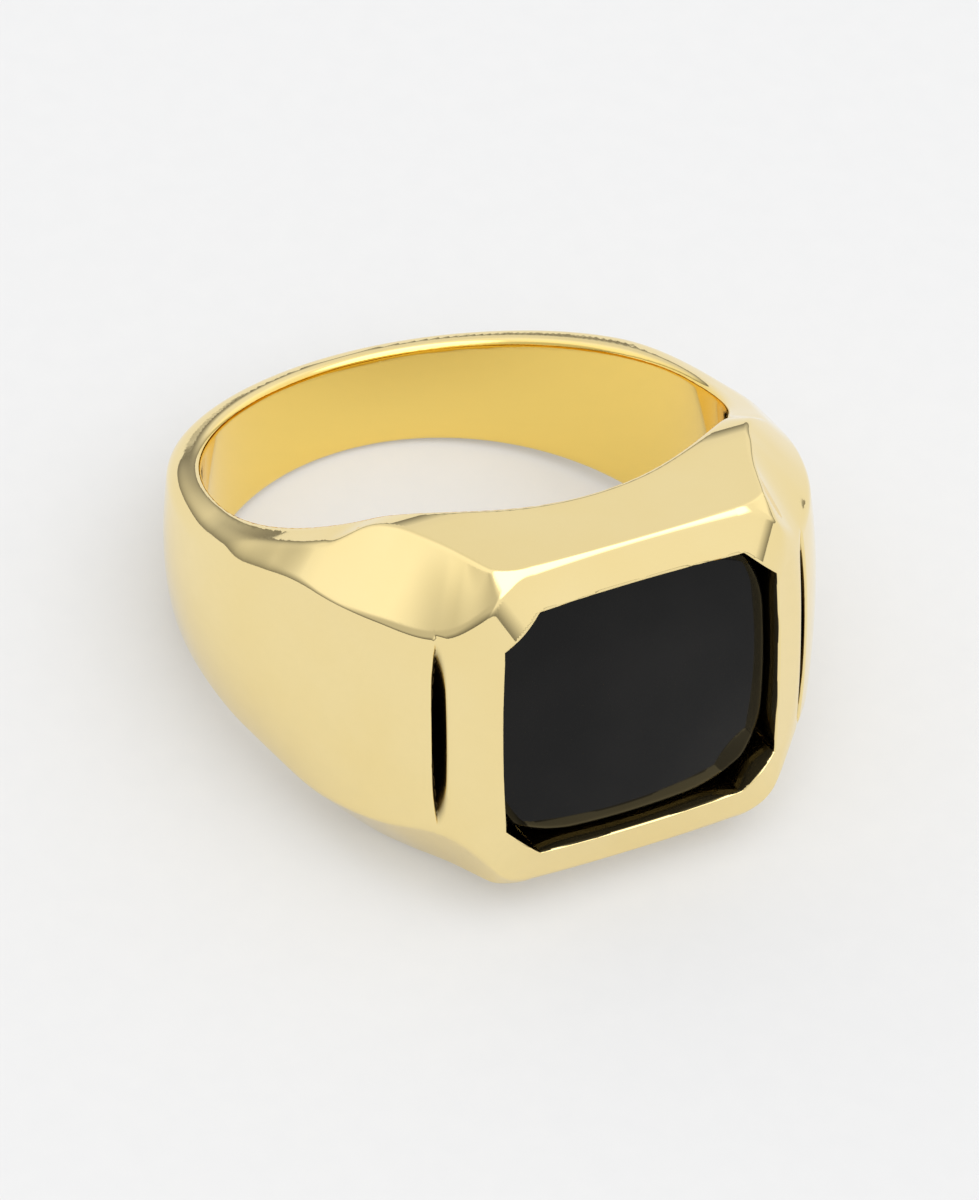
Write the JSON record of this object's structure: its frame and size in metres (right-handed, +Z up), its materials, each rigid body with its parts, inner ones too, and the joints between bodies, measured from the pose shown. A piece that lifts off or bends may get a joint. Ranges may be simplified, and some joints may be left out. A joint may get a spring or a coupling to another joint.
{
  "type": "signet ring",
  "caption": "Signet ring: tapered gold hoop, octagonal setting with faceted shoulders, sunk black onyx inlay with a low dome.",
  "frame": {"origin": "middle of the bottom of the bounding box: the surface that the ring lies on", "axes": "+Z up, with the ring lying on its side; -Y towards the stone's table; X across the ring; the finger axis leans 14.8 degrees from +Z towards +Y"},
  "size_m": [0.0228, 0.025, 0.0141],
  "materials": {
    "gold": "mirror-polished pale yellow gold plate",
    "braze": "polished flush and plated over",
    "onyx": "polished black",
    "cement": "cured dark epoxy"
  },
  "bodies": {
    "root": {"shank": "gold", "bezel_head": "gold", "braze_seam_left": "braze", "braze_seam_right": "braze", "stone_cement": "cement", "onyx_stone": "onyx"}
  },
  "joints": []
}
